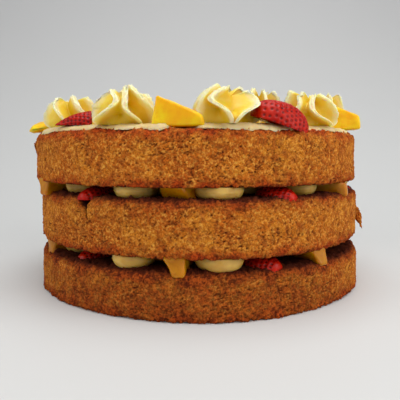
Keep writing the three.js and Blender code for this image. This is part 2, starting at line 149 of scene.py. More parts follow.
shade = blend(tree, spread_out(tree, up, 0.0, WALL_TONE_HEIGHT), table_tone, wall_tone)
tree.links.new(shade, shader.inputs["Base Color"])
table.data.materials.append(table_finish)

camera_lens = bpy.data.cameras.new("camera")
camera_lens.sensor_width = SENSOR_WIDTH
camera_lens.lens = SENSOR_WIDTH * FOCAL_LENGTH / PICTURE_WIDTH
camera_lens.clip_start = NEAREST_SEEN
camera = bpy.data.objects.new("camera", camera_lens)
camera.location = CAMERA_PLACE
camera.rotation_euler = (math.pi / 2 - CAMERA_DOWN, 0, 0)
bpy.context.scene.collection.objects.link(camera)
bpy.context.scene.camera = camera

for name, (place, width, power, colour) in LIGHTS.items():
    lamp = bpy.data.lights.new(name, "AREA")
    lamp.size = width
    lamp.energy = power
    lamp.color = colour
    light = bpy.data.objects.new(name, lamp)
    light.location = place
    aim = Vector(LIGHTS_AIM) - light.location
    light.rotation_euler = aim.to_track_quat("-Z", "Y").to_euler()
    bpy.context.scene.collection.objects.link(light)
daylight = bpy.data.worlds.new("daylight")
daylight.use_nodes = True
for key, value in DAYLIGHT.items():
    daylight.node_tree.nodes["Background"].inputs[key].default_value = value
bpy.context.scene.world = daylight
bpy.context.scene.view_settings.view_transform = "Standard"

# The sponges: three rounds of golden cake baked in the same tin and left unfrosted. Their open
# crumb is pitted and cracked at the sides, and their upper and lower edges are baked redder.
# Painted shade darkens their pits and cracks, the inside of the split and the edges beside the
# gaps, and painted light makes the bottom sponge's right side paler.

CAKE_RADIUS = 0.102
SPONGE_STEPS = 1080
SIDE_CUTS = 38
UPPER_EDGE_STEPS = 10
LOWER_EDGE_STEPS = 6
# under and over are how far the lower and upper edges are rounded, and browned how brown the side is.
# The next key darkens the upper edge, partly baked brown and partly painted shade under the sponge
# above, and the last two put painted shade on the top edge and on the foot where they meet a gap
SPONGES = {
    "sponge_bottom": {
        "floor": 0, "thickness": 0.0252, "shift": 0, "under": 0.002, "over": 0.005, "seed": 1.3,
        "browned": 0.85, "browned_and_shaded_rim": 0.9, "painted_shade_top": 1, "painted_shade_foot": 0,
    },
    "sponge_middle": {
        "floor": 0.0313, "thickness": 0.0292, "shift": -0.0008, "under": 0.0032, "over": 0.005, "seed": 4.1,
        "browned": 0.1, "browned_and_shaded_rim": 0.8, "painted_shade_top": 1, "painted_shade_foot": 1,
    },
    "sponge_top": {
        "floor": 0.0658, "thickness": 0.028, "shift": -0.003, "under": 0.0024, "over": 0.0054, "seed": 2.2,
        "browned": 0, "browned_and_shaded_rim": 0.15, "painted_shade_top": 0, "painted_shade_foot": 1,
    },
}
CAP_INSETS = (0.0008, 0.001, 0.0014, 0.002, 0.003, 0.005, 0.009, 0.016, 0.03)
SPLIT = {
    "bearing": -35.6,
    "inward": 0.006,
    "outline": (
        (-0.0075, 0.002), (-0.0056, -0.0012), (-0.003, -0.0046), (0.0007, -0.0078), (0.0026, -0.0124),
        (0.0036, -0.008), (0.0042, -0.0045), (0.007, -0.001), (0.008, 0.002),
    ),
}
SPLIT_TAPER = ((-1.4, 1), (0, 0.75), (1, 0.4))  # how wide it is at shares of its way in
SPLIT_CUTS = 9
FLAKES = {
    "sponge_middle": {"bearing": 76, "height": 0.0108, "size": (0.0027, 0.003, 0.0062), "lean": -0.7},
    "sponge_top": {"bearing": -75, "height": 0.0195, "size": (0.0045, 0.0018, 0.0032), "lean": 0},
}
ROUGH_FROM = 0.07  # nearer to the middle it is hidden, and stays smooth
ROUGH_FADE = 0.025
RELIEF = 0.001
# In millimetres: how large the lumps, the grains and the short level cracks are, and the cells that
# the pits lie in, with a pit's least share of its cell and how much that varies
LUMPS = (5, 2.1)
GRAINS = (1.05, 0.6)
PITS = ((3.1, 0.06, 0.5), (1.5, 0.2, 0.5))
CRACK_LENGTH = 5.5
CRACK_HEIGHT = 1.3
CRUST_DEPTH = 0.0075
BAKED_DEPTH = 0.0055
# How far the painted shade beside a gap reaches down from the top edge and up from the foot
PAINTED_SHADE_TOP_DEPTH = 0.0022
PAINTED_SHADE_FOOT_DEPTH = 0.0007
# The darkest tones, for pits, the edges beside the gaps and the inside of the split, are painted shade
CRUMB = {
    "golden": tone(202, 123, 33), "amber": tone(182, 93, 21), "pale": tone(227, 154, 62),
    "toasted": tone(150, 72, 20), "crust": tone(182, 68, 16), "dark_crust": tone(126, 34, 8),
    "browned": tone(160, 70, 20), "dark_browned": tone(86, 28, 8), "fleck": tone(116, 48, 14),
    "pit": tone(98, 40, 14), "painted_gap_shade": tone(66, 24, 12), "inside": tone(58, 24, 12),
}


def spot(bearing, reach, height, shift=0):
    """A place at a bearing from the front, positive towards +X. Its -Y looks outward."""
    turn = math.radians(bearing)
    place = Matrix.Translation((shift + reach * math.sin(turn), -reach * math.cos(turn), height))
    return place @ Matrix.Rotation(turn, 4, "Z")


def bulge(angle, height, seed):
    """How far the tin's wall let the sponge bulge, in metres."""
    return 0.0007 * np.sin(2 * angle + seed) + 0.0005 * np.sin(5 * angle + 2 * seed + 100 * height)


def points_of(piece, value="co"):
    """Each point of a mesh, or its normal."""
    points = np.empty(len(piece.data.vertices) * 3)
    piece.data.vertices.foreach_get(value, points)
    return points.reshape(-1, 3)


def set_points(piece, points):
    piece.data.vertices.foreach_set("co", np.ravel(points))
    piece.data.update()


def store(piece, name, values):
    """Keeps a value for each point of the mesh, for its material to read."""
    attribute = piece.data.attributes.new(name, "FLOAT", "POINT")
    attribute.data.foreach_set("value", np.asarray(values, np.float32))


def apply_boolean(piece, tool, operation):
    """Joins a tool to a piece, or cuts it out, and removes the tool."""
    deselect()
    bpy.context.view_layer.objects.active = piece
    modifier = piece.modifiers.new("join", "BOOLEAN")
    modifier.object = tool
    modifier.operation = operation
    modifier.solver = "MANIFOLD"
    bpy.ops.object.modifier_apply(modifier=modifier.name)
    bpy.data.objects.remove(tool)


def baked_round(name, thickness, under, over, seed):
    """A round of sponge with its edges rounded, its side closely divided and its top and bottom ringed."""
    deselect()
    bpy.ops.mesh.primitive_cylinder_add(
        vertices=SPONGE_STEPS, radius=CAKE_RADIUS, depth=thickness, location=(0, 0, thickness / 2)
    )
    round_cake = bpy.context.object
    round_cake.name = name
    bpy.ops.object.mode_set(mode="EDIT")
    pick(round_cake, lambda end: end.z > thickness - HAIR)
    bpy.ops.mesh.bevel(offset=over, segments=UPPER_EDGE_STEPS)
    pick(round_cake, lambda end: end.z < HAIR)
    bpy.ops.mesh.bevel(offset=under, segments=LOWER_EDGE_STEPS)
    bpy.ops.mesh.select_all(action="DESELECT")
    mesh = bmesh.from_edit_mesh(round_cake.data)
    for edge in mesh.edges:
        if abs(edge.verts[0].co.z - edge.verts[1].co.z) > 0.5 * thickness:
            edge.select_set(True)
    bmesh.update_edit_mesh(round_cake.data)
    bpy.ops.mesh.subdivide_edgering(number_cuts=SIDE_CUTS)
    bpy.ops.mesh.select_mode(type="FACE")
    bpy.ops.mesh.select_all(action="DESELECT")
    for face in bmesh.from_edit_mesh(round_cake.data).faces:
        if len(face.verts) == SPONGE_STEPS:
            face.select_set(True)
    bmesh.update_edit_mesh(round_cake.data)
    for width in CAP_INSETS:
        bpy.ops.mesh.inset(thickness=width)
    bpy.ops.mesh.poke()
    bpy.ops.object.mode_set(mode="OBJECT")
    bpy.ops.object.transform_apply()
    points = points_of(round_cake)
    radius = np.hypot(points[:, 0], points[:, 1])
    grown = bulge(np.arctan2(points[:, 1], points[:, 0]), points[:, 2], seed)
    points[:, :2] *= (1 + grown * np.clip(radius / CAKE_RADIUS, 0, 1) / np.maximum(radius, 0.01))[:, None]
    set_points(round_cake, points)
    return round_cake


def split_rim(round_cake, thickness, bearing, inward, outline):
    """Cuts the split in the rim: open at the top, and narrowing downward and inward."""
    count = len(outline)
    points = [(x * taper, y * inward, z * taper) for y, taper in SPLIT_TAPER for x, z in outline]
    ends = [list(range(count))[::-1], list(range(2 * count, 3 * count))]
    sides = []
    for row in (0, count):
        for i in range(count):
            after = (i + 1) % count
            sides.append((row + i, row + after, row + count + after, row + count + i))
    wedge_mesh = bpy.data.meshes.new("wedge")
    wedge_mesh.from_pydata(points, [], ends + sides)
    wedge_mesh.transform(spot(bearing, CAKE_RADIUS - inward, thickness))
    wedge = bpy.data.objects.new("wedge", wedge_mesh)
    bpy.context.scene.collection.objects.link(wedge)
    deselect()
    wedge.select_set(True)
    bpy.context.view_layer.objects.active = wedge
    bpy.ops.object.mode_set(mode="EDIT")
    bpy.ops.mesh.select_all(action="SELECT")
    bpy.ops.mesh.normals_make_consistent()
    bpy.ops.mesh.subdivide(number_cuts=SPLIT_CUTS)
    bpy.ops.object.mode_set(mode="OBJECT")
    apply_boolean(round_cake, wedge, "DIFFERENCE")


def add_flake(round_cake, bearing, height, size, lean):
    """Joins on a flake of crumb that stands out from the side, thinner towards its lower end."""
    deselect()
    bpy.ops.mesh.primitive_ico_sphere_add(subdivisions=5)
    flake = bpy.context.object
    points = points_of(flake)
    ragged = np.array([noise.noise(Vector(point) * 2.3) for point in points])
    points *= (1 + 0.7 * ragged)[:, None]
    points[:, :2] *= (0.62 + 0.38 * points[:, 2:])
    points[:, 1] += lean * (1 - points[:, 2])
    set_points(flake, points)
    flake.data.transform(spot(bearing, CAKE_RADIUS, height) @ Matrix.Diagonal((*size, 1)))
    apply_boolean(round_cake, flake, "UNION")


def crumb(round_cake, thickness, under, over, seed, browned, browned_and_shaded_rim, painted_shade_top, painted_shade_foot):
    """Roughens the crumb with lumps, grains, pits and short level cracks, and keeps for the material
    how pitted, crusty, baked and far inside each point is, and how dark it is beside a gap. Besides
    the crust and the browning, these values put painted shade in the pits, inside the split, on the
    upper edges and beside the gaps, and painted light on the bottom sponge's right side."""
    points = points_of(round_cake)
    height = points[:, 2].copy()
    radius = np.hypot(points[:, 0], points[:, 1])
    edge = np.minimum(height, thickness - height)
    crust = np.clip(1 - edge / CRUST_DEPTH, 0, 1)
    offset = Vector((31 * seed, 17 * seed, 11 * seed))
    lift, pit_shade, patchy = np.zeros((3, len(points)))
    for i in np.flatnonzero(radius > ROUGH_FROM):
        at = Vector(points[i]) * 1000
        lumps = 0.32 * noise.noise(at / LUMPS[0] + offset) + 0.34 * noise.noise(at / LUMPS[1] - offset)
        grain = 0.34 * noise.noise(at / GRAINS[0] + offset) + 0.2 * noise.noise(at / GRAINS[1] - offset)
        pit = 0
        for cell_size, smallest, spread in PITS:
            gaps, centres = noise.voronoi(at / cell_size + offset)
            reach = smallest + spread * noise.noise(centres[0] * 5.3)
            if gaps[0] < reach:
                pit = max(pit, (1 - gaps[0] / reach) ** 0.5 * min(1, 3 * reach))
        level = Vector((at.x / CRACK_LENGTH, at.y / CRACK_LENGTH, at.z / CRACK_HEIGHT))
        cracked = max(0, 1 - abs(noise.noise(level + offset)) / 0.075)
        cracked *= min(1, max(0, 5 * noise.noise(at / 13 - offset)))
        hollow = max(pit, 0.9 * cracked)
        lift[i] = RELIEF * ((lumps + grain) * (1 + 2.2 * crust[i] ** 2) - hollow)
        pit_shade[i] = hollow + max(0, -0.9 * grain)
        patchy[i] = noise.noise(at / 7 + offset)
    fade = np.clip((radius - ROUGH_FROM) / ROUGH_FADE, 0, 1)
    moved = points + points_of(round_cake, "normal") * (lift * fade)[:, None]
    moved[:, 2] = np.maximum(moved[:, 2], 0)
    set_points(round_cake, moved)
    # Mostly for the bottom sponge: browner towards the front and the foot and paler towards both sides, and
    # its right side is paler still, painted light on that side
    aside = np.clip(np.abs(points[:, 0]) / CAKE_RADIUS, 0, 1)
    painted_light_right = 1.6 * np.clip(points[:, 0] / CAKE_RADIUS - 0.55, 0, 1)
    darker = 0.75 - 0.6 * aside**2 - painted_light_right + 0.5 * (1 - height / thickness) + 0.5 * patchy
    baked = browned * np.clip(darker, 0, 1)
    # The upper edge is darker: partly baked brown, and partly painted shade under the sponge above
    baked += browned_and_shaded_rim * np.clip(1.1 - (thickness - height) / BAKED_DEPTH + 0.3 * patchy, 0, 1)
    # Painted shade beside the gaps: on the top edge of a sponge under a filling, and on the foot of one
    # standing on a filling
    painted_gap_shade = painted_shade_top * np.clip((height - thickness) / PAINTED_SHADE_TOP_DEPTH + 1, 0, 1)
    painted_gap_shade = np.maximum(painted_gap_shade, painted_shade_foot * np.clip(1 - height / PAINTED_SHADE_FOOT_DEPTH, 0, 1))
    shoulder = np.clip(height - (thickness - over), 0, over)
    foot = np.clip(under - height, 0, under)
    side = CAKE_RADIUS - over + np.sqrt(over**2 - shoulder**2)
    side += np.sqrt(under**2 - foot**2) - under
    side += bulge(np.arctan2(points[:, 1], points[:, 0]), height, seed)
    # Painted shade in the pits, the short cracks and the troughs of the grain
    store(round_cake, "pit", pit_shade)
    store(round_cake, "crust", np.clip(crust * (0.9 + 0.9 * patchy) + 0.25 * patchy, 0, 1))
    store(round_cake, "baked", np.clip(baked, 0, 1))
    store(round_cake, "painted_gap_shade", np.clip(painted_gap_shade * (1.15 + 0.5 * patchy), 0, 1))
    # Painted shade inside the split
    store(round_cake, "inside", np.clip((side - radius - 0.0008) / 0.0014, 0, 1) * (edge > 0.0003))


def read(tree, name):
    return add_node(tree, "ShaderNodeAttribute", attribute_name=name).outputs["Fac"]


def speckle(tree, size, detail):
    """Fine noise with features of a real size, in metres."""
    place = add_node(tree, "ShaderNodeTexCoord").outputs["Object"]
    values = {"Vector": place, "Scale": 1 / size, "Detail": detail}
    return add_node(tree, "ShaderNodeTexNoise", values).outputs["Fac"]


def patches(tree, size, low, high, most=1.0, detail=2.0):
    """Patches of a real size, from where fine noise passes low, and strongest where it reaches high."""
    return spread_out(tree, speckle(tree, size, detail), low, high, 0, most)


def roughen(tree, shader, strength, depth, size, detail=3.0):
    """Fine bumps of a real depth and size."""
    values = {"Strength": strength, "Distance": depth, "Height": speckle(tree, size, detail)}
    bump = add_node(tree, "ShaderNodeBump", values)
    tree.links.new(bump.outputs["Normal"], shader.inputs["Normal"])


sponge_finish, tree, shader = new_finish("golden_crumb", Roughness=0.9, Specular_IOR_Level=0.12)
colour = blend(tree, patches(tree, 0.016, 0.38, 0.62), CRUMB["golden"], CRUMB["amber"])
colour = blend(tree, patches(tree, 0.0014, 0.46, 0.66, detail=3.0), colour, CRUMB["pale"])
colour = blend(tree, patches(tree, 0.0032, 0.48, 0.62, 0.7, detail=3.0), colour, CRUMB["toasted"])
mottling = patches(tree, 0.0017, 0.4, 0.6, detail=3.0)
crust = blend(tree, mottling, CRUMB["crust"], CRUMB["dark_crust"])
colour = blend(tree, spread_out(tree, read(tree, "crust"), 0, 1, 0, 0.92), colour, crust)
# The baked tone carries painted shade on the upper edges beside the gaps and painted light on the bottom
# sponge's right side, as well as browning
browned = blend(tree, mottling, CRUMB["browned"], CRUMB["dark_browned"])
colour = blend(tree, spread_out(tree, read(tree, "baked"), 0, 1, 0, 0.85), colour, browned)
grain = spread_out(tree, speckle(tree, 0.0009, 3.0), 0.36, 0.64, 0.22, 0.78)
colour = blend(tree, 0.74, colour, grain, "OVERLAY")
colour = blend(tree, patches(tree, 0.0009, 0.58, 0.7, 0.6), colour, CRUMB["fleck"])
# Painted shade in the pits and cracks
colour = blend(tree, spread_out(tree, read(tree, "pit"), 0.1, 0.8), colour, CRUMB["pit"])
# Painted shade on the edges that meet a gap
colour = blend(tree, spread_out(tree, read(tree, "painted_gap_shade"), 0, 1, 0, 0.9), colour, CRUMB["painted_gap_shade"])
# Painted shade inside the split
colour = blend(tree, read(tree, "inside"), colour, CRUMB["inside"])
tree.links.new(colour, shader.inputs["Base Color"])
roughen(tree, shader, strength=0.9, depth=0.0007, size=0.0009)

for node_name, size in SPONGES.items():
    thickness = size["thickness"]
    baked = baked_round(f"{node_name}_crumb", thickness, size["under"], size["over"], size["seed"])
    if node_name == "sponge_middle":
        split_rim(baked, thickness, **SPLIT)
    if node_name in FLAKES:
        add_flake(baked, **FLAKES[node_name])
    crumb(baked, **{key: value for key, value in size.items() if key not in ("floor", "shift")})
    baked.data.transform(Matrix.Translation((size["shift"], 0, size["floor"])))
    baked.data.shade_smooth()
    baked.data.materials.clear()
    baked.data.materials.append(sponge_finish)
    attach(baked, "root")
    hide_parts(node_name)

# The buttercream spread over the top sponge: one thin coat put on with a palette knife, which left
# steps and ridges in it and a ragged rim. It runs over the sponge's rounded shoulder at the left,
# and the sponge is bare for a short stretch at the front.

DECK = 0.09685
SPREAD_RADIUS = 0.098
SPREAD_STEPS = 640
SPREAD_ROWS = 120
# Where the rim falls back or runs on: bearing, half the width in degrees, and how far. The first is
# the bare stretch.
LAPS = (
    (-3, 3.8, -0.010), (-53, 5, 0.0028), (-27, 9, -0.0022), (11, 7, -0.0014), (26, 8, 0.001),
    (60, 9, 0.0012),
)
RIM_WIDTH = 0.0075  # over which the coat thins towards its rim
RIM_DEPTH = 0.24  # a share of its full depth
RIM_ROUND = 0.0007
STROKE_WIDTH = 0.0021
STROKE_STEP = 0.0005
STROKE_RIPPLE = 0.00022
BEDDED = 0.0002  # keeps it clear of the sponge
SPREAD_TONES = tone(220, 199, 152), tone(205, 178, 124)


def rolled(name, around, along, place):
    """A sheet rolled round the upright axis. place gives the points for each turn and share of the way
    along, from 0 to 1, and values for the material to read. The seam and both ends are closed."""
    deselect()
    bpy.ops.mesh.primitive_grid_add(x_subdivisions=around, y_subdivisions=along, size=1)
    piece = bpy.context.object
    piece.name = name
    flat = points_of(piece)
    points, marks = place(flat[:, 0] + 0.5, flat[:, 1] + 0.5)
    set_points(piece, points)
    for mark, values in marks.items():
        store(piece, mark, values)
    bpy.ops.object.mode_set(mode="EDIT")
    bpy.ops.mesh.select_all(action="SELECT")
    bpy.ops.mesh.remove_doubles(threshold=1e-6)
    bpy.ops.mesh.normals_make_consistent()
    bpy.ops.object.mode_set(mode="OBJECT")
    bpy.ops.object.shade_smooth()
    return piece


def waves(seed, count, low, high, *axes):
    """A smooth unevenness between about -1 and 1: a few waves of drawn lengths across the given axes."""
    draw = np.random.default_rng(seed)
    total = 0
    for _ in range(count):
        pull = draw.uniform(low, high, len(axes)) * draw.choice((-1, 1), len(axes))
        total = total + np.sin(sum(p * axis for p, axis in zip(pull, axes)) + draw.uniform(0, 2 * math.pi))
    return total / math.sqrt(count)


def ring_waves(seed, count, low, high, angle):
    """Unevenness round a ring, which closes on itself."""
    draw = np.random.default_rng(seed)
    turns = draw.integers(low, high, count)
    return sum(np.sin(k * angle + draw.uniform(0, 2 * math.pi)) for k in turns) / math.sqrt(count)


def near_bearing(angle, bearing, half_width):
    """1 at a bearing, falling to nothing beside it."""
    gap = (np.degrees(angle) + 90 - bearing + 180) % 360 - 180
    return np.exp(-((gap / half_width) ** 2))


def spread_place(turn, share):
    """The rule of the coat: share runs out along its underside to the rim, and back over its top."""
    angle = 2 * math.pi * turn
    reach = SPREAD_RADIUS + 0.0012 * np.sin(4 * angle + 1) + 0.001 * np.sin(9 * angle)
    reach += 0.0008 * np.sin(19 * angle + 2) + 0.0007 * ring_waves(3, 7, 24, 60, angle)
    reach += 0.0004 * ring_waves(12, 7, 80, 170, angle)
    for bearing, half_width, advance in LAPS:
        reach += advance * near_bearing(angle, bearing, half_width)
    top = SPONGES["sponge_top"]
    shoulder = CAKE_RADIUS - top["over"] + bulge(angle, top["thickness"], top["seed"])
    beyond = np.clip(reach, 0, shoulder + 0.93 * top["over"])
    under = share < 0.5
    out = np.where(under, 2 * share, 2 - 2 * share)
    radius = (1 - (1 - np.clip(out, 0, 1)) ** 2) * beyond
    sunk = np.clip(radius - shoulder, 0, top["over"])
    floor = top["floor"] + top["thickness"] - top["over"] + np.sqrt(top["over"] ** 2 - sunk**2) + BEDDED
    inward = beyond - radius
    full = DECK - top["floor"] - top["thickness"] - BEDDED
    thin = RIM_DEPTH + 0.12 * ring_waves(5, 6, 8, 40, angle) + 0.07 * ring_waves(15, 6, 40, 110, angle)
    ramp = np.clip(inward / (RIM_WIDTH + 0.002 * ring_waves(9, 5, 5, 20, angle)), 0, 1)
    depth = full * (thin + (1 - thin) * ramp * (2 - ramp))
    depth *= np.sqrt(1 - (1 - np.clip(inward / RIM_ROUND, 0, 1)) ** 2)
    stroke = inward / STROKE_WIDTH + 1.4 * ring_waves(14, 6, 6, 34, angle)
    across = 2 * (stroke - np.floor(stroke) - 0.5)
    ledges = STROKE_STEP * across**3 * np.clip(radius / 0.03 - 1, 0, 1)
    x, y = radius * np.cos(angle), radius * np.sin(angle)
    strokes = ledges + STROKE_RIPPLE * waves(6, 6, 90, 260, x, y)
    height = floor + np.where(under, 0, np.maximum(depth + strokes * np.clip(inward / 0.001, 0, 1), 0))
    return np.column_stack((x, y, height)), {}


def cream_colours(name, roughness, depth):
    """Buttercream: light goes a little way into it, so thin edges glow."""
    finish, tree, shader = new_finish(
        name, Roughness=roughness, Specular_IOR_Level=0.35,
        Subsurface_Weight=1.0, Subsurface_Radius=(1.0, 0.75, 0.3), Subsurface_Scale=depth,
    )
    roughen(tree, shader, strength=0.4, depth=0.0003, size=0.0014)
    return finish, tree, shader


spread_finish, tree, shader = cream_colours("spread_buttercream", 0.5, 0.0012)
mottled = blend(tree, patches(tree, 0.012, 0.3, 0.7), *SPREAD_TONES)
tree.links.new(mottled, shader.inputs["Base Color"])

spread = rolled("spread_buttercream", SPREAD_STEPS, SPREAD_ROWS, spread_place)
spread.data.transform(Matrix.Translation((SPONGES["sponge_top"]["shift"], 0, 0)))
spread.data.materials.append(spread_finish)
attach(spread, "root")
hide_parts("cream_spread")

# The fillings: buttercream between the sponges, piped as a solid middle with a ring of large dots
# round its rim. The sponge above has pressed each dot into a low bowl.

# What lies in each gap: cream, peach or strawberry, its bearing, and how far it comes out. A piece
# that doesn't lie like the others also has its turn, in degrees, and its length.
GAPS = {
    "lower": {
        "below": "sponge_bottom",
        "above": "sponge_middle",
        "front": (
            ("P", -65, -0.001), ("C", -57, -0.006), ("S", -43, -0.006), ("C", -22.5, 0), ("P", -7, 0),
            ("C", 6.4, 0.002), ("S", 21.5, -0.002), ("P", 39.5, -0.001), ("C", 58, -0.009), ("S", 76, -0.007),
        ),
    },
    "upper": {
        "below": "sponge_middle",
        "above": "sponge_top",
        "front": (
            ("P", -62, 0.002), ("C", -49, -0.005), ("S", -36.5, -0.0015), ("C", -21, -0.002),
            ("P", -5.8, 0.0015, 154, 0.017), ("C", 7.3, 0.001), ("S", 27, 0), ("C", 39.5, -0.0035),
            ("P", 53.5, 0.001, 286, 0.024), ("S", 65, -0.001),
        ),
    },
}
BACK_KINDS = "CPCSCPCSCPC"
CORE_RADIUS = 0.080
DOT_RADIUS = 0.0115
DOT_REACH = 0.088
SINK = 0.0011  # how far each dot is sunk into the sponge below
CORE_EDGE = 0.0012
# Darker than the same buttercream elsewhere: painted shade for the gaps the fillings lie in
FILLING_SHADED_TONES = tone(216, 178, 92), tone(202, 158, 74)


def pieces_in(gap, wanted):
    """The pieces of one kind in a gap: each one's place in the ring and how it lies. Those that show
    from the front come first, then the rest, evenly spaced round the back."""
    front = gap["front"]
    first, last = front[0][1], front[-1][1]
    step = (first + 360 - last) / (len(BACK_KINDS) + 1)
    back = [(kind, last + step * (i + 1), 0) for i, kind in enumerate(BACK_KINDS)]
    return [(i, *lie) for i, (kind, *lie) in enumerate([*front, *back]) if kind == wanted]


def heights_of(gap):
    """The floor and the ceiling of a gap, and how far it is off the middle."""
    below, above = SPONGES[gap["below"]], SPONGES[gap["above"]]
    return below["floor"] + below["thickness"], above["floor"], 0.5 * (below["shift"] + above["shift"])


def piped_dot(tall, place, seed):
    """One dot: a drum with its lower edge rounded like a bowl, pressed out to a thin lip at the top."""
    deselect()
    bpy.ops.mesh.primitive_cylinder_add(vertices=96, radius=DOT_RADIUS, depth=tall, location=(0, 0, tall / 2))
    dot = bpy.context.object
    bpy.ops.object.mode_set(mode="EDIT")
    pick(dot, lambda end: end.z < HAIR)
    bpy.ops.mesh.bevel(offset=0.66 * tall, segments=12)
    pick(dot, lambda end: end.z > tall - HAIR)
    bpy.ops.mesh.bevel(offset=0.1 * tall, segments=3)
    bpy.ops.object.mode_set(mode="OBJECT")
    bpy.ops.object.transform_apply()
    points = points_of(dot)
    angle = np.arctan2(points[:, 1], points[:, 0])
    rise = points[:, 2] / tall
    swell = 1 + 0.05 * np.sin(2 * angle + seed) + 0.03 * np.sin(5 * angle + 2 * seed)
    swell += 0.025 * np.exp(-(((rise - 0.62 - 0.05 * np.sin(3 * angle + seed)) / 0.06) ** 2))
    points[:, :2] *= swell[:, None]
    set_points(dot, points)
    dot.data.transform(place)
    return dot


shaded_filling_finish, tree, shader = cream_colours("filling_buttercream_painted_shade", 0.42, 0.0016)
# Painted shade: the fillings' buttercream is coloured darker than the spread and the rosettes
mottled = blend(tree, patches(tree, 0.006, 0.35, 0.65), *FILLING_SHADED_TONES)
tree.links.new(mottled, shader.inputs["Base Color"])

for level, gap in GAPS.items():
    floor, ceiling, shift = heights_of(gap)
    deselect()
    bpy.ops.mesh.primitive_cylinder_add(
        vertices=180, radius=CORE_RADIUS, depth=ceiling - floor, location=(shift, 0, 0.5 * (floor + ceiling))
    )
    filling = bpy.context.object
    filling.name = f"filling_{level}_buttercream"
    bpy.ops.object.mode_set(mode="EDIT")
    pick(filling, lambda end: end.z > ceiling - HAIR or end.z < floor + HAIR)
    bpy.ops.mesh.bevel(offset=CORE_EDGE, segments=3)
    bpy.ops.object.mode_set(mode="OBJECT")
    bpy.ops.object.transform_apply()
    for i, bearing, further in pieces_in(gap, "C"):
        place = spot(bearing, DOT_REACH + further, floor - SINK, shift)
        apply_boolean(filling, piped_dot(ceiling - floor + 1.3 * SINK, place, 1.7 * i), "UNION")
    filling.data.materials.clear()
    filling.data.materials.append(shaded_filling_finish)
    deselect()
    filling.select_set(True)
    bpy.context.view_layer.objects.active = filling
    bpy.ops.object.shade_smooth_by_angle(angle=math.radians(50))
    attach(filling, "root")
    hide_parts(f"cream_filling_{level}")

# The rosettes: buttercream piped with a large star nozzle, which leaves thin fins with curled lips
# and deep folds between them. The fins lean and part as the bag was turned, and open at the top.
# Twisted fins this thin are rolled up from a sheet, because operators can't keep them even.

# Shares of the height and the radius, level by level, up to the lip and down again inside it
ROSETTE_LEVELS = {
    "height": (0, 0.12, 0.27, 0.43, 0.59, 0.75, 0.9, 1, 0.93, 0.8, 0.72),
    "edge": (0.78, 0.95, 1, 0.98, 0.9, 0.77, 0.58, 0.34, 0.22, 0.1, 0),
    "hollow": (0.5, 0.5, 0.46, 0.4, 0.33, 0.26, 0.2, 0.14, 0.1, 0.05, 0),
}
LIP_LEVEL = 7
# Half a fin and half the hollow beside it: how far out, how far round, and how thick the lip is
FIN_SECTION = {
    "out": (1, 0.985, 0.93, 0.82, 0.64, 0.45, 0.28, 0.14, 0.04, 0),
    "round": (0, 0, 0, 0.01, 0.04, 0.11, 0.25, 0.46, 0.72, 1),
    "lip": (0, 0.8, 1, 0.95, 0.85, 0.75, 0.6, 0.35, 0.1, 0),
}
LIP_THICKNESS = 0.00105
FIN_STEPS = 44
ROSETTE_RISE = 84
SAG = 0.16  # of the folds' tops, as a share of the height
CURL = 9  # of the lips, in degrees
FRILL_OUT = 0.014
FRILL_UP = 0.016
LIP_THINNING = 0.45
# Fins nearer to each other than this, in degrees, leave a shallower fold, by this power
CLOSED_GAP = 46
CLOSING = 1.7
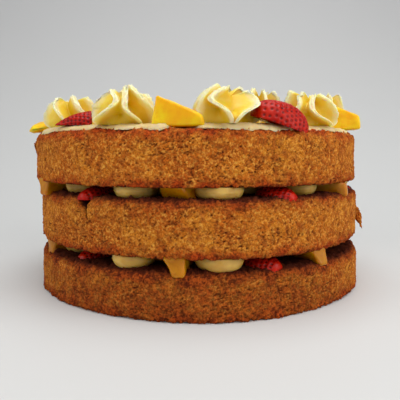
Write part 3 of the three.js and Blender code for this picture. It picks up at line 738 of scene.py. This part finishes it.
# Each fin's headings at the foot, a third, two thirds and all of the way up, in degrees from the
# front, then its length and height as shares of the rosette's, how far its top leans out, and how
# thick its lip is as a share of LIP_THICKNESS
FIN_FIELDS = ("headings", "out", "high", "flare", "lip")
ROSETTES = {
    1: {"bearing": -57.5, "reach": 0.085, "radius": 0.0165, "height": 0.0178, "fins": (
        ((-96, -98, -104, -118), 0.98, 0.94, 0.22, 1), ((8, -6, -30, -56), 0.98, 0.94, 0.08, 1.2),
        ((56, 42, 28, 20), 0.98, 1, 0.1, 1.2), ((92, 90, 86, 80), 0.95, 0.98, 0.28, 1.2),
        ((140, 140, 140, 140), 1, 0.9, 0.1, 1), ((208, 210, 210, 205), 1, 0.9, 0.1, 1),
    )},
    2: {"bearing": -25.7, "reach": 0.084, "radius": 0.0168, "height": 0.0196, "fins": (
        ((-98, -96, -102, -118), 1, 0.9, 0.14, 1), ((-84, -26, -2, -34), 1, 0.88, 0.06, 1.3),
        ((54, 14, 10, 14), 0.98, 0.98, 0.04, 1.3), ((98, 76, 46, 30), 0.98, 1, 0.12, 1.2),
        ((116, 96, 86, 84), 0.96, 0.8, 0.42, 1), ((160, 160, 160, 160), 1, 0.9, 0.1, 1),
        ((210, 210, 202, 190), 1, 0.95, 0.1, 1),
    )},
    3: {"bearing": 11.3, "reach": 0.084, "radius": 0.0175, "height": 0.0194, "fins": (
        ((-104, -92, -86, -84), 0.98, 0.9, 0.24, 1), ((-62, -62, -54, -40), 0.96, 1, 0.1, 1),
        ((8, -5, -40, -10), 0.97, 0.93, 0.06, 1.7), ((14, 31, 88, 104), 1, 0.84, 0.26, 2.1),
        ((88, 104, 128, 134), 0.97, 0.97, 0.15, 1), ((150, 160, 170, 176), 1, 1.02, 0.1, 1),
        ((210, 214, 220, 228), 1, 1, 0.05, 1),
    )},
    4: {"bearing": 49.8, "reach": 0.085, "radius": 0.015, "height": 0.0193, "fins": (
        ((-100, -98, -94, -92), 1, 1.05, 0.46, 1), ((-50, -46, -40, -60), 0.97, 0.98, 0.14, 1),
        ((68, 2, -14, -4), 0.95, 0.9, 0.06, 1.3), ((84, 92, 62, 24), 1, 0.9, 0.1, 1.3),
        ((112, 116, 118, 120), 0.95, 0.82, 0.1, 1), ((172, 172, 172, 172), 1, 0.95, 0.1, 1),
    )},
    5: {"bearing": 80, "reach": 0.083, "radius": 0.015, "height": 0.0225, "fins": (
        ((-60, -42, -34, -30), 1, 0.95, 0.1, 1), ((-5, 10, 17, 20), 0.95, 0.98, 0.2, 1),
        ((50, 70, 80, 82), 0.9, 1, 0.34, 1), ((110, 128, 137, 140), 1, 0.95, 0.2, 1),
        ((190, 203, 208, 210), 1, 0.95, 0.1, 1), ((250, 263, 268, 270), 1, 0.9, 0.1, 1),
    )},
    12: {"bearing": 38.5, "reach": 0.059, "radius": 0.0145, "height": 0.022, "fins": (
        ((-100, -82, -73, -70), 1, 0.9, 0.2, 1), ((-50, -36, -29, -28), 1, 1, 0.15, 1),
        ((-10, 8, 17, 20), 1, 0.94, 0.15, 1), ((45, 63, 72, 75), 1, 0.9, 0.25, 1),
        ((110, 125, 133, 135), 1, 0.95, 0.1, 1), ((195, 213, 222, 225), 1, 0.95, 0.1, 1),
    )},
}
# The rosettes that the photograph doesn't show: bearing, radius, height, fins, first heading and turn
BACK_ROSETTES = {
    6: (114, 0.0165, 0.021, 6, 8, 50), 7: (140, 0.0165, 0.020, 6, 25, -45),
    8: (176, 0.017, 0.0195, 6, 2, 55), 9: (208, 0.0165, 0.020, 5, 30, -50),
    10: (241, 0.017, 0.0205, 6, 15, 45), 11: (273, 0.0155, 0.0185, 6, 5, -40),
}
BACK_REACH = 0.084
ROSETTE_SINK = 0.0004
# The pale lip tone is a painted highlight, and the deep yellow of the folds is painted shade
LIP_HIGHLIGHT_TONE, FIN_TONE = tone(240, 232, 190), tone(232, 206, 74)
FOLD_SHADE_TONE, PALE_TONE = tone(226, 186, 2), tone(242, 222, 124)


def even_fins(count, start, turn):
    """Fins at even headings, a little uneven in length, height and lean."""
    fins = []
    for i in range(count):
        foot = start + 360 * i / count
        sway = math.sin(2.4 * i + start)
        headings = (foot, foot + 0.7 * turn, foot + 0.95 * turn, foot + turn)
        fins.append((headings, 1 + 0.05 * sway, 0.94 + 0.06 * sway, 0.18 + 0.12 * sway, 1))
    return tuple(fins)


def smooth_curve(where, values):
    """Values at even steps, joined by a smooth curve."""
    values = np.asarray(values, float)
    i = np.clip(np.floor(where).astype(int), 0, len(values) - 2)
    t = where - i
    before, here, there, after = (values[np.clip(i + k, 0, len(values) - 1)] for k in (-1, 0, 1, 2))
    curve = 2 * here + (there - before) * t + (2 * before - 5 * here + 4 * there - after) * t**2
    return 0.5 * (curve + (3 * here - before - 3 * there + after) * t**3)


def rosette_rule(radius, height, fins, seed):
    """The rule that rolls a sheet into a rosette."""
    fin_values = {field: np.array([fin[i] for fin in fins], float) for i, field in enumerate(FIN_FIELDS)}

    def place(around, along):
        highest = len(ROSETTE_LEVELS["height"]) - 1
        level = along * (highest + 1) - 1
        foot = np.clip(-level, 0, 1)
        level = np.clip(level, 0, highest)
        rise = np.clip(level / LIP_LEVEL, 0, 1)
        inside = 1 - np.clip((level - LIP_LEVEL) / (highest - LIP_LEVEL), 0, 1)
        edge, hollow, up = (smooth_curve(level, ROSETTE_LEVELS[key]) for key in ("edge", "hollow", "height"))
        turns = around * len(fins)
        here = np.round(turns).astype(int)
        there = here + np.where(turns > here, 1, -1)
        share = 2 * np.abs(turns - here)

        def fin_value(field, fin):
            return fin_values[field][fin % len(fins)]

        courses = np.array([smooth_curve(3 * rise, headings) for headings in fin_values["headings"]])

        def heading(fin):
            return courses[fin % len(fins), np.arange(len(fin))] + 360 * (fin // len(fins))

        def fin_edge(fin):
            return radius * (edge * fin_value("out", fin) + fin_value("flare", fin) * rise**3 * inside)

        def section(key):
            return smooth_curve(share * (len(FIN_SECTION[key]) - 1), FIN_SECTION[key])

        between = heading(there) - heading(here)
        middle = 0.5 * (fin_edge(here) + fin_edge(there))
        parted = np.clip(np.abs(between) / CLOSED_GAP, 0, 1) ** CLOSING
        bottom = middle + (radius * hollow - middle) * parted
        frill = waves(int(10 * seed), 7, 20, 60, 6 * 2 * math.pi * around, 3 * rise) * section("out") ** 3
        frill += 1.6 * waves(int(10 * seed) + 1, 5, 3, 9, 6 * 2 * math.pi * around, 3 * rise) * section("out")
        out = bottom + (fin_edge(here) - bottom) * section("out")
        out = (out + FRILL_OUT * radius * frill * np.clip(3 * rise, 0, 1) * inside) * (1 - foot)
        thick = LIP_THICKNESS * fin_value("lip", here) * section("lip")
        thick *= (0.45 + 0.55 * np.clip(2.2 * rise - 0.2, 0, 1)) * (1 - LIP_THINNING * rise**4)
        lip = np.degrees(thick / np.maximum(out, 0.0035))
        aside = 0.5 * np.abs(between) * section("round") + np.minimum(lip, 0.42 * np.abs(between))
        trail = np.sign(heading(here) - fin_values["headings"][here % len(fins), 0])
        curl = CURL * trail * section("out") ** 4 * rise * (1 - share)
        turn = np.radians(heading(here) + np.sign(between) * np.where(share > 0, aside, 0) - curl - 90)
        high = fin_value("high", here) * (1 - 0.5 * share) + fin_value("high", there) * 0.5 * share
        sag = SAG * (1 - section("out")) * rise**2 * inside
        lifted = height * (up * high - sag + FRILL_UP * frill * rise**2 * inside)
        marks = {"fold": 1 - section("out") * inside}
        return np.column_stack((out * np.cos(turn), out * np.sin(turn), lifted)), marks

    return place


rosette_finish, tree, shader = cream_colours("piped_buttercream", 0.42, 0.0024)
# Painted highlight on the lips and painted shade down in the folds
colour = blend(tree, spread_out(tree, read(tree, "fold"), 0.04, 0.42), LIP_HIGHLIGHT_TONE, FIN_TONE)
colour = blend(tree, spread_out(tree, read(tree, "fold"), 0.35, 0.95), colour, FOLD_SHADE_TONE)
colour = blend(tree, patches(tree, 0.005, 0.45, 0.7, 0.25), colour, PALE_TONE)
tree.links.new(colour, shader.inputs["Base Color"])

for number, (bearing, radius, height, *fins) in BACK_ROSETTES.items():
    size = {"radius": radius, "height": height, "fins": even_fins(*fins)}
    ROSETTES[number] = {"bearing": bearing, "reach": BACK_REACH, **size}

for number, size in ROSETTES.items():
    rule = rosette_rule(size["radius"], size["height"], size["fins"], seed=number)
    rosette = rolled(f"rosette_{number}_buttercream", len(size["fins"]) * FIN_STEPS, ROSETTE_RISE, rule)
    centre = spot(size["bearing"], size["reach"], DECK - ROSETTE_SINK, SPONGES["sponge_top"]["shift"])
    rosette.data.transform(Matrix.Translation(centre.translation))
    rosette.data.materials.append(rosette_finish)
    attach(rosette, "root")
    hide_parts(f"rosette_{number}")

# The peach: chunks cut from a slice of a ripe, peeled peach, wet and a little clear. Each is a
# block with one tall end and one low end, its edges softened. Those pressed into the gaps are
# undercut, and coloured darker as painted shade.

# How each piece lies: bearing, reach, lift, turn and tip. Then its length, how tall its two ends
# are, how thick it is, and how far its edges are rounded, as a share of that
TOP_PEACHES = (
    (-77, 0.0935, -0.001, -90, 9, (0.026, 0.0095, 0.006, 0.011, 0.26)),
    (-4.6, 0.089, -0.002, 0, 0, (0.0262, 0.0158, 0.0062, 0.012, 0.13)),
    (71.5, 0.0955, -0.0008, -72, 0, (0.019, 0.0148, 0.0085, 0.011, 0.14)),
    (158, 0.088, 0, 10, 0, (0.027, 0.013, 0.005, 0.012, 0.18)),
    (224, 0.088, 0, 172, 0, (0.026, 0.012, 0.005, 0.011, 0.22)),
)
FRUIT_DROP = 0.0022  # how far the fruit in the gaps hangs over the edge below
FRUIT_REACH = 0.091
CHUNK_LENGTH = 0.024
CHUNK = {"thick": 0.0125, "soft": 0.13, "back": 1, "undercut": 0.5}
DENT_SIZE = 0.006
DENT_DEPTH = 0.0012
RIPE_TONES = tone(248, 186, 0), tone(250, 214, 10), tone(242, 168, 0)
# Darker tones for the pieces in the gaps: painted shade
PEACH_SHADE_TONES = tone(184, 116, 0), tone(198, 132, 2), tone(164, 94, 0)

peach_dents = bpy.data.textures.new("peach_dents", "CLOUDS")
peach_dents.noise_scale = DENT_SIZE


def set_down(piece, bearing, reach, height, shift, yaw=0, tip=0, roll=0):
    """Lays a piece in its place: rolled about its length, then tipped, then turned, in degrees."""
    turned = Matrix.Rotation(math.radians(yaw), 4, "Z") @ Matrix.Rotation(math.radians(tip), 4, "Y")
    turned = turned @ Matrix.Rotation(math.radians(roll), 4, "X")
    piece.data.transform(spot(bearing, reach, height, shift) @ turned)


def peach_chunk(name, length, tall, low, thick, soft, back=0.62, undercut=0):
    """A block sloped from its tall end to its low end, its edges rounded by soft. back is how tall its
    far side is as a share of the near one, and undercut how far that side's foot is set in."""
    deselect()
    bpy.ops.mesh.primitive_cube_add(size=1, location=(0, 0, 0.5), scale=(length, thick, 1))
    chunk = bpy.context.object
    chunk.name = name
    bpy.ops.object.transform_apply()
    points = points_of(chunk)
    left, high, behind = points[:, 0] < 0, points[:, 2] > 0.5, points[:, 1] > 0
    points[:, 0] += np.where(left & high, 0.1 * length, 0) + np.where(~left & high, -0.05 * length, 0)
    points[:, 1] -= np.where(behind & ~high, undercut * thick, 0)
    points[:, 2] *= np.where(left, tall, low) * np.where(behind, back, 1)
    set_points(chunk, points)
    bpy.ops.object.mode_set(mode="EDIT")
    bpy.ops.mesh.select_all(action="SELECT")
    bpy.ops.mesh.bevel(offset=soft * thick, segments=5)
    bpy.ops.mesh.select_all(action="SELECT")
    bpy.ops.mesh.subdivide(number_cuts=3)
    bpy.ops.object.mode_set(mode="OBJECT")
    chunk.modifiers.new("smooth", "SUBSURF")
    bpy.ops.object.modifier_apply(modifier="smooth")
    dents = chunk.modifiers.new("dents", "DISPLACE")
    dents.strength = DENT_DEPTH
    dents.texture = peach_dents
    bpy.ops.object.modifier_apply(modifier="dents")
    bpy.ops.object.shade_smooth()
    return chunk


def peach_colours(name, first, second, dapple):
    """Peach flesh: wet, and clear enough for light to go a little way in."""
    finish, tree, shader = new_finish(
        name, Roughness=0.38, Specular_IOR_Level=0.3, Coat_Weight=0.06, Coat_Roughness=0.15,
        Subsurface_Weight=1.0, Subsurface_Radius=(1.0, 0.5, 0.05), Subsurface_Scale=0.0022,
    )
    flesh = blend(tree, patches(tree, 0.009, 0.35, 0.65), first, second)
    flesh = blend(tree, patches(tree, 0.0028, 0.5, 0.7, 0.45, detail=3.0), flesh, dapple)
    tree.links.new(flesh, shader.inputs["Base Color"])
    roughen(tree, shader, strength=0.25, depth=0.0003, size=0.0015)
    return finish


peach_finish = peach_colours("ripe_peach", *RIPE_TONES)
# The pieces in the gaps get a darker copy of the peach: painted shade
shaded_peach_finish = peach_colours("peach_painted_shade", *PEACH_SHADE_TONES)


def finish_fruit(piece, finish, node_name):
    piece.data.materials.append(finish)
    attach(piece, "root")
    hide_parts(node_name)


for i, (bearing, reach, lift, yaw, tip, size) in enumerate(TOP_PEACHES):
    chunk = peach_chunk(f"peach_top_{i + 1}_fruit", *size)
    set_down(chunk, bearing, reach, DECK + lift, SPONGES["sponge_top"]["shift"], yaw, tip)
    finish_fruit(chunk, peach_finish, f"peach_top_{i + 1}")

for level, gap in GAPS.items():
    floor, ceiling, shift = heights_of(gap)
    tall, low = ceiling - floor + 2 * FRUIT_DROP, ceiling - floor + FRUIT_DROP
    for number, (i, bearing, further, *own) in enumerate(pieces_in(gap, "P"), 1):
        sway = math.sin(2.4 * i + 0.7)
        turn, length = own or (100 + 16 * sway, CHUNK_LENGTH)
        chunk = peach_chunk(f"peach_{level}_{number}_fruit", length, tall, low, **CHUNK)
        set_down(chunk, bearing, FRUIT_REACH + further, floor - FRUIT_DROP, shift, turn)
        finish_fruit(chunk, shaded_peach_finish, f"peach_{level}_{number}")

# The strawberries: cut in half lengthwise and laid on their cut side. Each has a pointed end, a
# blunt end where its leaves were, and dark seeds sunk in rows of small dimples.

# How each half lies: bearing, reach, lift, and its turn, tip and roll. Then its length, its radius
# and the values of its form, where they aren't the usual ones
TOP_BERRIES = (
    (-44.1, 0.0868, 0.0002, (240, 0, 0), 0.0297, 0.0082,
        {"widest": 0.33, "blunt": 0.74, "cut": 0.36, "seed_gap": 0.002}),
    (28, 0.091, -0.0006, (-12, 17, 6), 0.0305, 0.0116, {"widest": 0.46, "blunt": 0.3, "seed_gap": 0.0027}),
    (96.5, 0.091, 0.0003, (170, 8, 0), 0.027, 0.011, {}),
    (192, 0.090, 0.0003, (5, 10, 0), 0.028, 0.0105, {}),
    (257, 0.090, 0.0003, (178, 10, 0), 0.030, 0.011, {}),
)
TOP_FINENESS = 1.8
GAP_BERRY = {"length": 0.022, "blunt": 0.32, "seed_gap": 0.0022}
SEED_RADIUS = 0.00042
DIMPLE_DEPTH = 0.0007
DIMPLE_WIDTH = 0.00075
SKIN_TONES = tone(166, 14, 0), tone(194, 30, 2)
# The dimples are coloured darker: painted shade in them
DIMPLE_SHADE_TONE, SEED_TONE = tone(120, 8, 2), tone(44, 10, 2)


def berry_half(name, length, radius, seed, widest=0.4, blunt=0.6, cut=0, seed_gap=0.0026, fineness=1.0):
    """A ball drawn out to a berry, dimpled round each seed, and cut flat underneath. widest is how far
    along it is thickest, and cut how much is cut away at its blunt end, as shares of its length."""
    deselect()
    bpy.ops.mesh.primitive_uv_sphere_add(segments=int(110 * fineness), ring_count=int(80 * fineness))
    berry = bpy.context.object
    berry.name = name
    ball = points_of(berry)
    along = np.clip(0.5 - 0.5 * ball[:, 2], 1e-6, 1 - 1e-6)
    around = np.arctan2(ball[:, 1], ball[:, 0])
    draw = np.random.default_rng(100 + seed)
    skew = math.log(0.5) / math.log(widest)

    def berry_radius(along):
        return radius * np.sin(math.pi * along**skew) ** blunt

    def on_berry(along, around):
        lumpy = 1 + 0.035 * np.sin(2 * around + seed) + 0.025 * np.sin(3 * around + 9 * along + 2 * seed)
        out = berry_radius(along) * lumpy
        return np.column_stack((length * (along - 0.5), out * np.sin(around), out * np.cos(around)))

    seeds = []
    rows = int(length / seed_gap)
    for row in range(1, rows):
        where = row / rows
        count = max(3, int(2 * math.pi * berry_radius(where) / (seed_gap * (1.25 - 0.4 * where))))
        for k in range(count):
            turn = 2 * math.pi * (k + 0.5 * (row % 2) + draw.uniform(-0.12, 0.12)) / count
            seeds.append((where + draw.uniform(-0.1, 0.1) / rows, turn))
    seeds = np.array(seeds)
    points = on_berry(along, around)
    centres = on_berry(seeds[:, 0], seeds[:, 1])
    away = [np.sqrt(((part[:, None, :] - centres[None]) ** 2).sum(2)) for part in np.array_split(points, 8)]
    gaps = np.concatenate([part.min(1) for part in away])
    plain = draw.uniform(0.15, 1, len(seeds))[np.concatenate([part.argmin(1) for part in away])]
    set_points(berry, points)
    dimple = np.exp(-((gaps / DIMPLE_WIDTH) ** 2))
    seed_bump = 0.5 * np.exp(-((gaps / (0.7 * SEED_RADIUS)) ** 2))
    set_points(berry, points - DIMPLE_DEPTH * (dimple - seed_bump)[:, None] * points_of(berry, "normal"))
    store(berry, "seed", plain * np.clip(1.5 - gaps / SEED_RADIUS, 0, 1))
    store(berry, "dimple", dimple)
    bpy.ops.object.mode_set(mode="EDIT")
    bpy.ops.mesh.select_all(action="SELECT")
    bpy.ops.mesh.normals_make_consistent()
    bpy.ops.mesh.bisect(plane_co=(0, 0, 0), plane_no=(0, 0, 1), clear_inner=True, use_fill=True)
    if cut:
        bpy.ops.mesh.select_all(action="SELECT")
        stalk_end = ((cut - 0.5) * length, 0, 0)
        bpy.ops.mesh.bisect(plane_co=stalk_end, plane_no=(1, 0, 0), clear_inner=True, use_fill=True)
    bpy.ops.object.mode_set(mode="OBJECT")
    bpy.ops.object.shade_smooth_by_angle(angle=math.radians(60))
    return berry


berry_finish, tree, shader = new_finish(
    "ripe_strawberry", Roughness=0.26, Specular_IOR_Level=0.2,
    Subsurface_Weight=0.35, Subsurface_Radius=(1.0, 0.12, 0.06), Subsurface_Scale=0.001,
)
skin = blend(tree, patches(tree, 0.006, 0.35, 0.65), *SKIN_TONES)
# Painted shade in the dimples round the seeds
skin = blend(tree, spread_out(tree, read(tree, "dimple"), 0.1, 0.8, 0, 0.75), skin, DIMPLE_SHADE_TONE)
skin = blend(tree, read(tree, "seed"), skin, SEED_TONE)
tree.links.new(skin, shader.inputs["Base Color"])
roughen(tree, shader, strength=0.2, depth=0.0002, size=0.001, detail=2.0)

for i, (bearing, reach, lift, turns, length, radius, form) in enumerate(TOP_BERRIES):
    half = berry_half(f"strawberry_top_{i + 1}_fruit", length, radius, **form, seed=i, fineness=TOP_FINENESS)
    set_down(half, bearing, reach, DECK + lift, SPONGES["sponge_top"]["shift"], *turns)
    finish_fruit(half, berry_finish, f"strawberry_top_{i + 1}")

for level, gap in GAPS.items():
    floor, ceiling, shift = heights_of(gap)
    for number, (i, bearing, further) in enumerate(pieces_in(gap, "S"), 1):
        sway = math.sin(2.4 * i + 0.7)
        radius = ceiling - floor + FRUIT_DROP + 0.0005 * sway
        half = berry_half(f"strawberry_{level}_{number}_fruit", radius=radius, seed=10 + i, **GAP_BERRY)
        set_down(half, bearing, FRUIT_REACH + further, floor - FRUIT_DROP, shift, -75 + 20 * sway)
        finish_fruit(half, berry_finish, f"strawberry_{level}_{number}")
